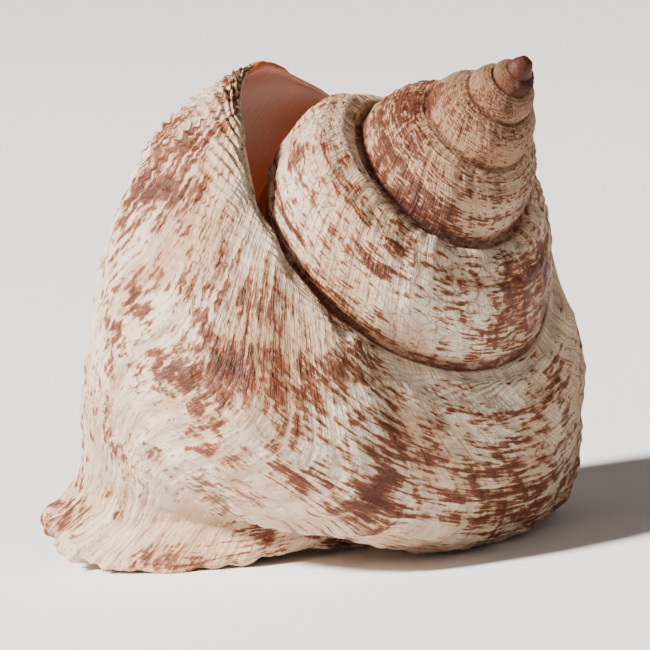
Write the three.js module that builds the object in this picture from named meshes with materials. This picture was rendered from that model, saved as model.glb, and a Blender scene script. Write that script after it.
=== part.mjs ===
// Empty sea snail shell, grown in one piece: a stepped spire, a large last whorl
// with a raised shoulder, a wide winged outer lip and a flared band at the front end.
//
// The shell is drawn upright first. The coiling axis is Z with the spire tip at the
// top, and a place on it is given by a growth angle in degrees, a radius from the
// axis and a depth below the tip. The growth angle runs on from turn to turn and
// increases clockwise seen from the tip, which makes the shell right handed.
// The finished shell is then laid down on its resting side, base at Z = 0.
import * as THREE from 'three';

// ---- Driving dimensions ----
const UNIT = 0.16;               // millimetres per drawing unit; lengths below are in units
const TURN_GROWTH = 1.622;       // size ratio from one turn to the next
const WOBBLE = 0.158;            // how far the growth runs ahead on one side of each turn
const WOBBLE_ANGLE = -40;        // the side where it runs ahead
const SEAM_RADIUS = 164.3;       // seam between whorls at growth angle 0
const SEAM_DEPTH = 241;
const FLAT_SIDE = 0.17;          // how much the spire is narrowed on its flatter side
const FLAT_ANGLE = -460;         // the first place where it is, one turn up from the lip
const WALL = 9;                  // wall thickness of the last whorl
const LIP_WALL = 5;              // its thickness at the free edge of the lip
const RIM_BULGE = 3;             // rounding of the free edge of the lip
const BODY_START = -195;         // growth angle where the last whorl starts
const HOLLOW_START = -63;        // growth angle where the modelled hollow ends inside
const SPIRE_TURNS = [58, 46, 38, 30, 20];  // facets per turn, from the last whorl upward
const LIP_BLEND = 45;            // degrees over which the whorl flares to the lip edge
const FRONT_TIP = [115, 70, 725];    // growth angle, radius and depth of the front tip
const TIP_DEPTH = 8;             // depth of the rounded cap on the first whorl

// Low rib on the underside of the last whorl, left by an earlier pause in growth.
const RIB_ANGLE = -96;           // growth angle and row of its highest point
const RIB_ROW = 5.9;
const RIB_WIDTH = 13;            // degrees to each side, and rows to each end
const RIB_LENGTH = 2.2;
const RIB_PUSH = [13.6, 15.2];    // radius and depth added at its highest point

// How the upright shell is laid down: turned about its axis, tipped, then headed.
const REST_TURN = 107.7;
const REST_TIP = 43.2;
const REST_HEADING = 59.5;

// Seam line after the last whorl leaves the normal spiral: growth angle, radius, depth.
const FREE_SEAM = [
  [30, 178, 264],
  [51, 166, 265],
  [70, 153, 262],
  [90, 146, 256],
  [130, 154, 254],
  [165, 170, 258],
];

// Upper side of every whorl: ramp, crest and shoulder, each as radius and depth.
const SPIRE_SECTION = [[180, 257], [203, 284], [235, 330]];
const UPPER = [
  [-450, [[113, 150], [124, 170], [142, 206]]],
  [-360, [[132, 169], [158, 188], [179, 228]]],
  [-270, [[118, 152], [136, 166], [149, 211]]],
  [-235, [[114, 161], [132, 185], [150, 218]]],
  [-195, [[125, 173], [146, 204], [162, 234]]],
  [-150, [[146, 196], [168, 220], [192, 254]]],
  [-105, [[170, 230], [196, 248], [228, 282]]],
  [-60, [[190, 259], [222, 276], [252, 310]]],
  [-30, [[196, 268], [225, 282], [258, 315]]],
  [0, [[196, 266], [214, 271], [250, 308]]],
  [45, [[186, 246], [199, 242], [232, 275]]],
  [90, [[190, 222], [224, 205], [250, 243]]],
  [130, [[190, 235], [226, 232], [250, 270]]],
  [165, [[205, 262], [230, 275], [248, 305]]],
];

// Lower side: upper side wall, periphery, base, waist, crease, rim of the front band
// and its underside. Before BODY_START it is the inner wall and the central column.
const LOWER = [
  [-423, [[174, 255], [165, 300], [130, 345], [90, 385], [70, 410], [60, 430], [55, 440]]],
  [-330, [[180, 266], [168, 310], [135, 360], [95, 410], [70, 460], [58, 510], [52, 560]]],
  [-270, [[146, 256], [135, 300], [116, 352], [88, 410], [70, 470], [58, 540], [54, 610]]],
  [-195, [[170, 258], [163, 310], [135, 365], [98, 420], [78, 480], [68, 560], [62, 650]]],
  [-150, [[213, 290], [215, 340], [180, 400], [125, 440], [100, 465], [92, 505], [62, 575]]],
  [-105, [[250, 325], [264, 373], [236, 420], [175, 460], [142, 474], [140, 500], [66, 535]]],
  [-60, [[272, 346], [281, 385], [250, 429], [188, 462], [156, 476], [166, 503], [72, 542]]],
  [-30, [[280, 356], [290, 396], [258, 438], [200, 474], [158, 488], [163, 530], [78, 568]]],
  [0, [[278, 354], [288, 398], [260, 448], [205, 503], [138, 553], [158, 614], [86, 615]]],
  [45, [[263, 335], [272, 392], [241, 465], [188, 546], [129, 637], [147, 697], [94, 682]]],
  [90, [[262, 317], [247, 388], [223, 465], [188, 560], [138, 668], [138, 723], [100, 714]]],
  [130, [[252, 330], [250, 390], [226, 468], [182, 562], [130, 675], [125, 720], [102, 726]]],
  [165, [[250, 345], [248, 395], [222, 470], [172, 565], [125, 680], [112, 720], [100, 730]]],
];

// Foot of the central column inside the shell: growth angle, radius, depth.
const COLUMN_FOOT = [
  [-423, 52, 446],
  [-330, 50, 590],
  [-270, 54, 650],
  [-195, 70, 725],
];

// Free edge of the lip by row: growth angle, radius and depth.
const LIP = [
  [0, 51, 166, 265],
  [1, 70, 195, 226],
  [2, 97, 226, 206],
  [3, 126, 226, 227],
  [4, 150, 236, 270],
  [5, 160, 247, 385],
  [6, 160, 218, 475],
  [7, 157, 167, 565],
  [8, 153, 122, 668],
  [9, 149, 102, 710],
  [10, 145, 88, 722],
];

// Rows along a section, in station numbers, and the rows that belong to the spire.
const ROWS = [
  0, 0.5, 1, 1.5, 2, 2.5, 3, 3.5, 4, 4.25, 4.6, 5, 5.4, 5.8, 6.3, 6.8,
  7.3, 7.7, 8, 8.3, 8.65, 9, 9.35, 9.7, 10, 10.5, 11,
];
const SPIRE_ROWS = ROWS.filter((row) => row <= 4);
const COLUMN_ROWS = ROWS.filter((row) => row >= 4);
const SEAM_STEP = 6;             // degrees per facet along the seam
const BODY_FACETS = (LIP[0][1] - BODY_START) / SEAM_STEP;
const BODY_COLUMNS = 52;         // facets round the last whorl away from the seam
const HOLLOW_FACETS = 2 * (LIP[0][1] - HOLLOW_START) / SEAM_STEP;

// ---- Curves ----
function whorlSize(angle) {
  const lean = 1 + WOBBLE * Math.cos(THREE.MathUtils.degToRad(angle - WOBBLE_ANGLE));
  return Math.pow(TURN_GROWTH, angle / 360) * lean;
}

function smoothStep(value) {
  const t = Math.min(Math.max(value, 0), 1);
  return t * t * (3 - 2 * t);
}

// Smooth curve through keys of the form { at, values }.
function keyed(keys, at) {
  const last = keys.length - 1;
  const x = Math.min(Math.max(at, keys[0].at), keys[last].at);
  let i = 0;
  while (i < last - 1 && x >= keys[i + 1].at) {
    i += 1;
  }
  const slope = (k, n) => {
    const span = keys[k + 1].at - keys[k].at;
    return (keys[k + 1].values[n] - keys[k].values[n]) / span;
  };
  const tangent = (k, n) => {
    if (k === 0 || k === last) {
      return 0;
    }
    const before = keys[k].at - keys[k - 1].at;
    const after = keys[k + 1].at - keys[k].at;
    return (slope(k - 1, n) * after + slope(k, n) * before) / (before + after);
  };
  const step = keys[i + 1].at - keys[i].at;
  const t = (x - keys[i].at) / step;
  return keys[i].values.map((from, n) => {
    const to = keys[i + 1].values[n];
    const rise = (2 * t ** 3 - 3 * t ** 2 + 1) * from + (3 * t ** 2 - 2 * t ** 3) * to;
    const lead = (t ** 3 - 2 * t ** 2 + t) * step * tangent(i, n);
    const trail = (t ** 3 - t ** 2) * step * tangent(i + 1, n);
    return rise + lead + trail;
  });
}

// Smooth curve through the stations of a section, evaluated at a station number.
function alongSection(stations, row) {
  const last = stations.length - 1;
  const i = Math.min(Math.floor(row), last - 1);
  const t = row - i;
  const pace = (k) => Math.sqrt(Math.hypot(
    stations[k + 1][0] - stations[k][0],
    stations[k + 1][1] - stations[k][1],
  ));
  const rate = (k, n) => (stations[k + 1][n] - stations[k][n]) / pace(k);
  const tangent = (k, n) => {
    if (k === 0) {
      return rate(0, n);
    }
    if (k === last) {
      return rate(last - 1, n);
    }
    const before = pace(k - 1);
    const after = pace(k);
    return (rate(k - 1, n) * after + rate(k, n) * before) / (before + after);
  };
  const step = pace(i);
  return [0, 1].map((n) => {
    const from = stations[i][n];
    const to = stations[i + 1][n];
    const rise = (2 * t ** 3 - 3 * t ** 2 + 1) * from + (3 * t ** 2 - 2 * t ** 3) * to;
    const lead = (t ** 3 - 2 * t ** 2 + t) * step * tangent(i, n);
    const trail = (t ** 3 - t ** 2) * step * tangent(i + 1, n);
    return rise + lead + trail;
  });
}

// Keys divided by the whorl size, so that the curve between them keeps growing.
function relativeKeys(table) {
  return table.map(([angle, pairs]) => ({
    at: angle,
    values: pairs.flat().map((length) => length / whorlSize(angle)),
  }));
}

const spireValues = SPIRE_SECTION.flat();
const upperKeys = [{ at: -650, values: spireValues }, ...relativeKeys(UPPER)];
const lowerKeys = relativeKeys(LOWER);
const seamKeys = [
  ...[-60, 0].map((angle) => ({ at: angle, values: [SEAM_RADIUS, SEAM_DEPTH] })),
  ...relativeKeys(FREE_SEAM.map(([angle, radius, depth]) => [angle, [[radius, depth]]])),
];
const footKeys = relativeKeys(
  COLUMN_FOOT.map(([angle, radius, depth]) => [angle, [[radius, depth]]]),
);
const lipKeys = LIP.map(([row, ...values]) => ({ at: row, values }));

function pairsAt(keys, angle) {
  const size = whorlSize(angle);
  const values = keyed(keys, angle);
  const pairs = [];
  for (let n = 0; n < values.length; n += 2) {
    pairs.push([values[n] * size, values[n + 1] * size]);
  }
  return pairs;
}

// Share of the full radius, less than 1 on the flatter side of the spire.
function narrowing(angle) {
  if (angle > FLAT_ANGLE + 90) {
    return 1;
  }
  const facing = Math.cos(THREE.MathUtils.degToRad(angle - FLAT_ANGLE));
  return 1 - FLAT_SIDE * smoothStep(facing);
}

function seam(angle) {
  const [radius, depth] = pairsAt(seamKeys, angle)[0];
  return [radius * narrowing(angle), depth];
}

// Stations 0 to 10 of the section at a growth angle.
function section(angle) {
  const lower = pairsAt(lowerKeys, angle);
  if (angle <= BODY_START) {
    lower[0] = seam(angle + 360);
  }
  const upper = pairsAt(upperKeys, angle).map(([radius, depth], k) => {
    const share = narrowing(angle) + (narrowing(angle + 360) - narrowing(angle)) * (k + 1) / 3;
    return [radius * share, depth];
  });
  return [seam(angle), ...upper, ...lower];
}

function place(angle, radius, depth) {
  const turn = THREE.MathUtils.degToRad(angle);
  return new THREE.Vector3(radius * Math.sin(turn), radius * Math.cos(turn), -depth);
}

// The last station: the front tip on the last whorl, the column foot further in.
function lastStation(angle) {
  const tip = place(...FRONT_TIP);
  const [radius, depth] = pairsAt(footKeys, angle)[0];
  const share = smoothStep((angle - BODY_START + 105) / 105);
  return place(angle, radius, depth).lerp(tip, share);
}

// Outer surface of the whorl, with the last part flared out to the lip edge.
function surface(angle, row) {
  const upTo = Math.min(row, 10);
  let [radius, depth] = alongSection(section(angle), upTo);
  const [lipAngle, lipRadius, lipDepth] = keyed(lipKeys, upTo);
  const share = smoothStep((angle - lipAngle + LIP_BLEND) / LIP_BLEND);
  if (share > 0) {
    const plain = alongSection(section(lipAngle), upTo);
    radius += (lipRadius - plain[0]) * share;
    depth += (lipDepth - plain[1]) * share;
  }
  const rib = smoothStep(1 - Math.abs(angle - RIB_ANGLE) / RIB_WIDTH)
    * smoothStep(1 - Math.abs(row - RIB_ROW) / RIB_LENGTH);
  radius += RIB_PUSH[0] * rib;
  depth += RIB_PUSH[1] * rib;
  const point = place(angle, radius, depth);
  return row > 10 ? point.lerp(lastStation(angle), row - 10) : point;
}

function lipAngleAt(row) {
  return keyed(lipKeys, Math.min(row, 10))[0];
}

function outwardNormal(angle, row) {
  const alongGrowth = surface(angle + 0.5, row).sub(surface(angle - 0.5, row));
  const low = Math.max(row - 0.04, 0);
  const high = Math.min(row + 0.04, 10.98);
  const acrossWhorl = surface(angle, high).sub(surface(angle, low));
  return alongGrowth.cross(acrossWhorl).normalize();
}

// Inner surface of the outer wall. It starts on the whorl inside the last one, just
// below the seam, and ends at the foot of the central column.
function hollow(angle, row) {
  const wallPoint = (at) => {
    const nearEdge = smoothStep((angle - lipAngleAt(at)) / LIP_BLEND + 1);
    const thin = (WALL + (LIP_WALL - WALL) * nearEdge) * Math.min(1, (11 - at) / 1.5);
    return surface(angle, at).addScaledVector(outwardNormal(angle, at), -thin);
  };
  if (row < 1) {
    const start = surface(angle - 360, 4.25);
    return start.lerp(wallPoint(row), smoothStep(row));
  }
  const nearLip = smoothStep((angle - 90) / 60);
  if (row <= 8 || nearLip === 1) {
    return wallPoint(row);
  }
  const share = (row - 8) / 3;
  const end = lastStation(angle - 360);
  const middle = wallPoint(8).lerp(end, 0.5).setZ(end.z);
  const inner = wallPoint(8).multiplyScalar((1 - share) ** 2);
  inner.addScaledVector(middle, 2 * share * (1 - share));
  inner.addScaledVector(end, share ** 2);
  return inner.lerp(row < 11 ? wallPoint(row) : end, nearLip);
}

// ---- Mesh ----
const points = [];
const triangles = [];
const pointNumber = new Map();

function numberOf(point) {
  const name = [point.x, point.y, point.z].map((value) => value.toFixed(4)).join(' ');
  if (!pointNumber.has(name)) {
    pointNumber.set(name, points.length);
    points.push(point);
  }
  return pointNumber.get(name);
}

function addTriangle(a, b, c) {
  if (a !== b && b !== c && c !== a) {
    triangles.push([a, b, c]);
  }
}

// Triangles between two lines of points that run the same way. Seen from outside,
// the second line lies to the left of the first.
function bridge(first, second) {
  let i = 0;
  let j = 0;
  while (i < first.length - 1 || j < second.length - 1) {
    const nextFirst = (i + 1) / (first.length - 1 || 1);
    const nextSecond = (j + 1) / (second.length - 1 || 1);
    if (j === second.length - 1 || (i < first.length - 1 && nextFirst <= nextSecond)) {
      addTriangle(first[i], first[i + 1], second[j]);
      i += 1;
    } else {
      addTriangle(first[i], second[j + 1], second[j]);
      j += 1;
    }
  }
}

function line(from, to, facets, pointAt) {
  return Array.from({ length: facets + 1 }, (_, k) => {
    return numberOf(pointAt(from + (to - from) * k / facets));
  });
}

function bridgeAll(lines) {
  for (let k = 0; k < lines.length - 1; k += 1) {
    bridge(lines[k], lines[k + 1]);
  }
}

// Spire: one strip per turn, from its own seam down to the seam of the next turn.
SPIRE_TURNS.forEach((facets, turn) => {
  const to = BODY_START - 360 * turn;
  const below = turn === 0 ? 360 / SEAM_STEP : SPIRE_TURNS[turn - 1];
  bridgeAll(SPIRE_ROWS.map((row) => {
    return line(to - 360, to, row === 4 ? below : facets, (angle) => {
      return row === 4 ? place(angle + 360, ...seam(angle + 360)) : surface(angle, row);
    });
  }));
});

// Rounded cap over the first whorl: the open seam line and the start of its strip.
const firstTurn = BODY_START - 360 * SPIRE_TURNS.length;
const firstFacets = SPIRE_TURNS[SPIRE_TURNS.length - 1];
const capEdge = [
  ...line(firstTurn, firstTurn + 360, firstFacets, (angle) => surface(angle, 0)),
  ...SPIRE_ROWS.slice(0, -1).reverse().map((row) => numberOf(surface(firstTurn, row))),
];
const tipPoint = new THREE.Vector3(0, 0, -TIP_DEPTH);
const capRing = capEdge.map((n) => {
  const ringPoint = points[n].clone().lerp(tipPoint, 0.45);
  ringPoint.z += 0.3 * (tipPoint.z - points[n].z);
  return numberOf(ringPoint);
});
bridgeAll([[numberOf(tipPoint)], capRing, capEdge]);

// Outside of the last whorl, from its start to the free edge of the lip.
const bodyLines = ROWS.map((row) => {
  return line(BODY_START, lipAngleAt(row), row === 0 ? BODY_FACETS : BODY_COLUMNS, (angle) => {
    return surface(angle, row);
  });
});
bridgeAll(bodyLines);

// Inner wall and central column, deep part and open part.
const attachedTo = LIP[0][1] - 360;
const deepLines = COLUMN_ROWS.slice(1).map((row) => {
  return line(HOLLOW_START - 360, attachedTo, HOLLOW_FACETS, (angle) => surface(angle, row));
});
bridgeAll(deepLines);
const openFacets = (BODY_START - attachedTo) / SEAM_STEP;
const openLines = COLUMN_ROWS.map((row) => {
  return line(attachedTo, BODY_START, openFacets, (angle) => surface(angle, row));
});
bridgeAll(openLines);

// Inside of the outer wall. Its last row is the foot of the central column.
const hollowLines = ROWS.slice(0, -1).map((row) => {
  return line(HOLLOW_START, lipAngleAt(row), HOLLOW_FACETS, (angle) => hollow(angle, row));
});
hollowLines.push([...deepLines.at(-1), ...openLines.at(-1).slice(1)]);
bridgeAll([...hollowLines].reverse());

// Far end of the hollow.
bridge(deepLines.map((row) => row[0]), hollowLines.map((row) => row[0]));

// Rounded free edge of the lip.
const lipOutside = bodyLines.map((row) => row.at(-1));
const lipInside = hollowLines.map((row) => row.at(-1));
const lipEdge = ROWS.map((row, k) => {
  if (row === 0 || row === 11) {
    return lipOutside[k];
  }
  const outside = points[lipOutside[k]];
  const behind = surface(lipAngleAt(row) - 2, row);
  const onward = outside.clone().sub(behind).normalize();
  const middle = outside.clone().lerp(points[lipInside[k]], 0.5);
  return numberOf(middle.addScaledVector(onward, RIM_BULGE));
});
bridgeAll([lipInside, lipEdge, lipOutside]);

// ---- Laying the shell down ----
const degrees = THREE.MathUtils.degToRad;
const layDown = new THREE.Matrix4()
  .makeRotationZ(degrees(REST_HEADING))
  .multiply(new THREE.Matrix4().makeRotationX(degrees(REST_TIP)))
  .multiply(new THREE.Matrix4().makeRotationZ(degrees(REST_TURN)))
  .scale(new THREE.Vector3(UNIT, UNIT, UNIT));
const resting = points.map((point) => point.clone().applyMatrix4(layDown));
const extent = new THREE.Box3().setFromPoints(resting);
const middle = extent.getCenter(new THREE.Vector3());

const geometry = new THREE.BufferGeometry();
geometry.setAttribute('position', new THREE.Float32BufferAttribute(
  resting.flatMap((point) => [point.x - middle.x, point.y - middle.y, point.z - extent.min.z]),
  3,
));
geometry.setIndex(triangles.flat());
geometry.computeVertexNormals();

const shell = new THREE.Mesh(geometry, new THREE.MeshStandardMaterial({
  color: 0xd9c4b2,
  roughness: 0.55,
  metalness: 0,
}));
shell.name = 'shell';

const object = new THREE.Group();
object.name = 'sea_snail_shell';
object.add(shell);

export default object;
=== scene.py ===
# Empty sea snail shell: fine mesh, coloured shell material, floor, light and camera.
import math
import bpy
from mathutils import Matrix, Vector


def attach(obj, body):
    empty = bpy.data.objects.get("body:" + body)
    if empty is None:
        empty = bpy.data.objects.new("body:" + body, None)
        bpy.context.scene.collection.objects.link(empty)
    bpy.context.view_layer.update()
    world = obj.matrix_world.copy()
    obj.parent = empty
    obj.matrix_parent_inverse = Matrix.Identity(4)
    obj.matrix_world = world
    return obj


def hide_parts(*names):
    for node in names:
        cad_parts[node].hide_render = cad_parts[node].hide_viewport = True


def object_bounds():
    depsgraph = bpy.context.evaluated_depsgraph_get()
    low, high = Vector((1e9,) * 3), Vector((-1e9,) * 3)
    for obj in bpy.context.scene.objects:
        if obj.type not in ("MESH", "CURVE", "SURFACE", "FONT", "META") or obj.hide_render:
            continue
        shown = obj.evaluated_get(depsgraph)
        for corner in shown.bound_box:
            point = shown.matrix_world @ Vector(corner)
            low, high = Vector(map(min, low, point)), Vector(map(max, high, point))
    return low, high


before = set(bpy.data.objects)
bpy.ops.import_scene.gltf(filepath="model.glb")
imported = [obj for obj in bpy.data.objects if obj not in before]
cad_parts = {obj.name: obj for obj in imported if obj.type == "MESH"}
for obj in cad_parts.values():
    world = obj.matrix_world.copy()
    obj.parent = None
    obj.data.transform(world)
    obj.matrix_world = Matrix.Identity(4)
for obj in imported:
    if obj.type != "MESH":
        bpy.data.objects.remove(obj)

from types import SimpleNamespace

import bpy
import numpy as np
from mathutils import Matrix, Vector

CAD_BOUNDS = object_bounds()
cad_low, cad_high = (np.array(corner) for corner in CAD_BOUNDS)

# ---- Dimensions, the same as in the CAD part: drawing units, and degrees ----
# The shell is drawn upright, its tip at the origin and its coiling axis down Z. A place
# is a growth angle, which runs on from turn to turn, and a radius and depth; or a growth
# angle and a row, the station number across the whorl from its seam.
UNIT = 0.00016            # metres per drawing unit
TURN_GROWTH = 1.622       # size ratio from one turn to the next
WOBBLE = 0.158            # how far the growth runs ahead on one side of each turn
WOBBLE_ANGLE = -40
SEAM_RADIUS = 164.3       # seam between whorls at growth angle 0
SEAM_DEPTH = 241
FLAT_SIDE = 0.17          # how much the spire is narrowed on its flatter side
FLAT_ANGLE = -460
WALL = 9                  # wall thickness of the last whorl
LIP_WALL = 5              # its thickness at the free edge of the lip
RIM_BULGE = 3             # rounding of that edge
BODY_START = -195         # growth angle where the last whorl starts
HOLLOW_START = -63        # growth angle where the modelled hollow ends inside
LIP_BLEND = 45            # degrees over which the whorl flares to the lip edge
FRONT_TIP = (115, 70, 725)    # growth angle, radius and depth
TIP_BLEND = 105           # degrees over which the column's foot runs out to the front tip
TIP_DEPTH = 8             # depth of the rounded cap on the first whorl
SPIRE_EDGE = 4            # last row of a spire whorl
WALL_START = 4.25         # row where the outer wall leaves the whorl inside it
COLUMN_SIDE = 8           # row beyond which the hollow curves in to the column
LAST_ROW = 11
RIB_ANGLE = -96           # low rib on the underside
RIB_ROW = 5.9
RIB_WIDTH = 13
RIB_LENGTH = 2.2
RIB_PUSH = (13.6, 15.2)
REST_TURN = 107.7         # turns about Z, X and Z that lay the shell down
REST_TIP = 43.2
REST_HEADING = 59.5

# growth angle, radius and depth of the seam's free end
FREE_SEAM = [
    (30, 178, 264),
    (51, 166, 265),
    (70, 153, 262),
    (90, 146, 256),
    (130, 154, 254),
    (165, 170, 258),
]
SPIRE_SECTION = [(180, 257), (203, 284), (235, 330)]
# growth angle, then the radius and depth of stations 1 to 3, and of 4 to 10 in LOWER
UPPER = [
    (-450, [(113, 150), (124, 170), (142, 206)]),
    (-360, [(132, 169), (158, 188), (179, 228)]),
    (-270, [(118, 152), (136, 166), (149, 211)]),
    (-235, [(114, 161), (132, 185), (150, 218)]),
    (-195, [(125, 173), (146, 204), (162, 234)]),
    (-150, [(146, 196), (168, 220), (192, 254)]),
    (-105, [(170, 230), (196, 248), (228, 282)]),
    (-60, [(190, 259), (222, 276), (252, 310)]),
    (-30, [(196, 268), (225, 282), (258, 315)]),
    (0, [(196, 266), (214, 271), (250, 308)]),
    (45, [(186, 246), (199, 242), (232, 275)]),
    (90, [(190, 222), (224, 205), (250, 243)]),
    (130, [(190, 235), (226, 232), (250, 270)]),
    (165, [(205, 262), (230, 275), (248, 305)]),
]
LOWER = [
    (-423, [(174, 255), (165, 300), (130, 345), (90, 385), (70, 410), (60, 430), (55, 440)]),
    (-330, [(180, 266), (168, 310), (135, 360), (95, 410), (70, 460), (58, 510), (52, 560)]),
    (-270, [(146, 256), (135, 300), (116, 352), (88, 410), (70, 470), (58, 540), (54, 610)]),
    (-195, [(170, 258), (163, 310), (135, 365), (98, 420), (78, 480), (68, 560), (62, 650)]),
    (-150, [(213, 290), (215, 340), (180, 400), (125, 440), (100, 465), (92, 505), (62, 575)]),
    (-105, [(250, 325), (264, 373), (236, 420), (175, 460), (142, 474), (140, 500), (66, 535)]),
    (-60, [(272, 346), (281, 385), (250, 429), (188, 462), (156, 476), (166, 503), (72, 542)]),
    (-30, [(280, 356), (290, 396), (258, 438), (200, 474), (158, 488), (163, 530), (78, 568)]),
    (0, [(278, 354), (288, 398), (260, 448), (205, 503), (138, 553), (158, 614), (86, 615)]),
    (45, [(263, 335), (272, 392), (241, 465), (188, 546), (129, 637), (147, 697), (94, 682)]),
    (90, [(262, 317), (247, 388), (223, 465), (188, 560), (138, 668), (138, 723), (100, 714)]),
    (130, [(252, 330), (250, 390), (226, 468), (182, 562), (130, 675), (125, 720), (102, 726)]),
    (165, [(250, 345), (248, 395), (222, 470), (172, 565), (125, 680), (112, 720), (100, 730)]),
]
# growth angle, radius and depth of the last row
COLUMN_FOOT = [(-423, 52, 446), (-330, 50, 590), (-270, 54, 650), (-195, 70, 725)]
# row, growth angle, radius and depth of the lip edge
LIP = [
    (0, 51, 166, 265),
    (1, 70, 195, 226),
    (2, 97, 226, 206),
    (3, 126, 226, 227),
    (4, 150, 236, 270),
    (5, 160, 247, 385),
    (6, 160, 218, 475),
    (7, 157, 167, 565),
    (8, 153, 122, 668),
    (9, 149, 102, 710),
    (10, 145, 88, 722),
]

# ---- Fineness of the visual mesh ----
SEAM_STEP = 1.2           # degrees per facet along the seam
SPIRE_TURNS = [300, 220, 160, 110, 70]    # facets per turn, from the last one upward
BODY_COLUMNS = 330        # facets round the last whorl away from the seam
CROWDING = 0.35           # how much closer the columns are near the lip
HOLLOW_FACETS = 76        # facets round the hollow
SPIRE_ROWS = 28
ROWS = np.concatenate([
    np.linspace(0, SPIRE_EDGE, SPIRE_ROWS + 1),
    [WALL_START],
    np.linspace(WALL_START, 6.5, 35)[1:],
    np.linspace(6.5, 9.2, 38)[1:],
    np.linspace(9.2, LAST_ROW, 16)[1:],
])
FIRST_COLUMN_ROW = SPIRE_ROWS         # places in ROWS where these surfaces start
FIRST_HOLLOW_ROW = SPIRE_ROWS + 1


# ---- Curves, the same as in the CAD part ----
def smooth_step(value):
    t = np.clip(value, 0, 1)
    return t * t * (3 - 2 * t)


def whorl_size(angle):
    angle = np.asarray(angle, float)
    lean = 1 + WOBBLE * np.cos(np.radians(angle - WOBBLE_ANGLE))
    return TURN_GROWTH ** (angle / 360) * lean


def keyed(keys, at):
    """Smooth curve through keys of the form (place, values)."""
    places = np.array([key[0] for key in keys], float)
    values = np.array([np.ravel(key[1]) for key in keys], float)
    x = np.clip(np.atleast_1d(np.asarray(at, float)), places[0], places[-1])
    spans = np.diff(places)
    slopes = np.diff(values, axis=0) / spans[:, None]
    tangents = np.zeros_like(values)
    before, after = spans[:-1, None], spans[1:, None]
    tangents[1:-1] = (slopes[:-1] * after + slopes[1:] * before) / (before + after)
    i = np.clip(np.searchsorted(places, x, side="right") - 1, 0, len(places) - 2)
    step = spans[i][:, None]
    t = ((x - places[i]) / spans[i])[:, None]
    return (
        (2 * t**3 - 3 * t**2 + 1) * values[i]
        + (3 * t**2 - 2 * t**3) * values[i + 1]
        + (t**3 - 2 * t**2 + t) * step * tangents[i]
        + (t**3 - t**2) * step * tangents[i + 1]
    )


def along_section(stations, row):
    """Smooth curve through the stations (n, count, 2), at one station number."""
    last = stations.shape[1] - 1
    i = min(int(row), last - 1)
    t = row - i
    steps = np.diff(stations, axis=1)
    pace = np.sqrt(np.linalg.norm(steps, axis=2, keepdims=True))
    rate = steps / pace

    def tangent(k):
        if k == 0:
            return rate[:, 0]
        if k == last:
            return rate[:, -1]
        before, after = pace[:, k - 1], pace[:, k]
        return (rate[:, k - 1] * after + rate[:, k] * before) / (before + after)

    return (
        (2 * t**3 - 3 * t**2 + 1) * stations[:, i]
        + (3 * t**2 - 2 * t**3) * stations[:, i + 1]
        + (t**3 - 2 * t**2 + t) * pace[:, i] * tangent(i)
        + (t**3 - t**2) * pace[:, i] * tangent(i + 1)
    )


def relative_keys(table):
    """Keys divided by the whorl size, so that the curve between them keeps growing."""
    return [(angle, np.ravel(pairs) / whorl_size(angle)) for angle, pairs in table]


UPPER_KEYS = [(-650, np.ravel(SPIRE_SECTION))] + relative_keys(UPPER)
LOWER_KEYS = relative_keys(LOWER)
SEAM_KEYS = [(angle, (SEAM_RADIUS, SEAM_DEPTH)) for angle in (-60, 0)]
SEAM_KEYS += relative_keys([(angle, (radius, depth)) for angle, radius, depth in FREE_SEAM])
FOOT_KEYS = relative_keys([(angle, (radius, depth)) for angle, radius, depth in COLUMN_FOOT])
LIP_KEYS = [(row, place) for row, *place in LIP]


def pairs_at(keys, angle):
    values = keyed(keys, angle) * whorl_size(np.atleast_1d(angle))[:, None]
    return values.reshape(len(values), -1, 2)


def narrowing(angle):
    """Share of the full radius, less than 1 on the flatter side of the spire."""
    facing = np.cos(np.radians(angle - FLAT_ANGLE))
    return np.where(angle > FLAT_ANGLE + 90, 1, 1 - FLAT_SIDE * smooth_step(facing))


def seam(angle):
    pair = pairs_at(SEAM_KEYS, angle)[:, 0]
    pair[:, 0] *= narrowing(angle)
    return pair


def section(angle):
    lower = pairs_at(LOWER_KEYS, angle)
    early = angle <= BODY_START + 1e-9    # a spire whorl ends on the seam of the next turn
    if early.any():
        lower[early, 0] = seam(angle[early] + 360)
    upper = pairs_at(UPPER_KEYS, angle)
    for k in range(3):
        share = narrowing(angle) + (narrowing(angle + 360) - narrowing(angle)) * (k + 1) / 3
        upper[:, k, 0] *= share
    return np.concatenate([seam(angle)[:, None], upper, lower], axis=1)


def place(angle, radius, depth):
    turn = np.radians(angle)
    return np.stack([radius * np.sin(turn), radius * np.cos(turn), -depth + 0 * turn], axis=-1)


def last_station(angle):
    tip = place(*[np.array(float(value)) for value in FRONT_TIP])
    foot = pairs_at(FOOT_KEYS, angle)[:, 0]
    share = smooth_step((angle - BODY_START + TIP_BLEND) / TIP_BLEND)[:, None]
    return place(angle, foot[:, 0], foot[:, 1]) * (1 - share) + tip * share


def lip_angle_at(row):
    return float(keyed(LIP_KEYS, min(row, 10))[0, 0])


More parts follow.
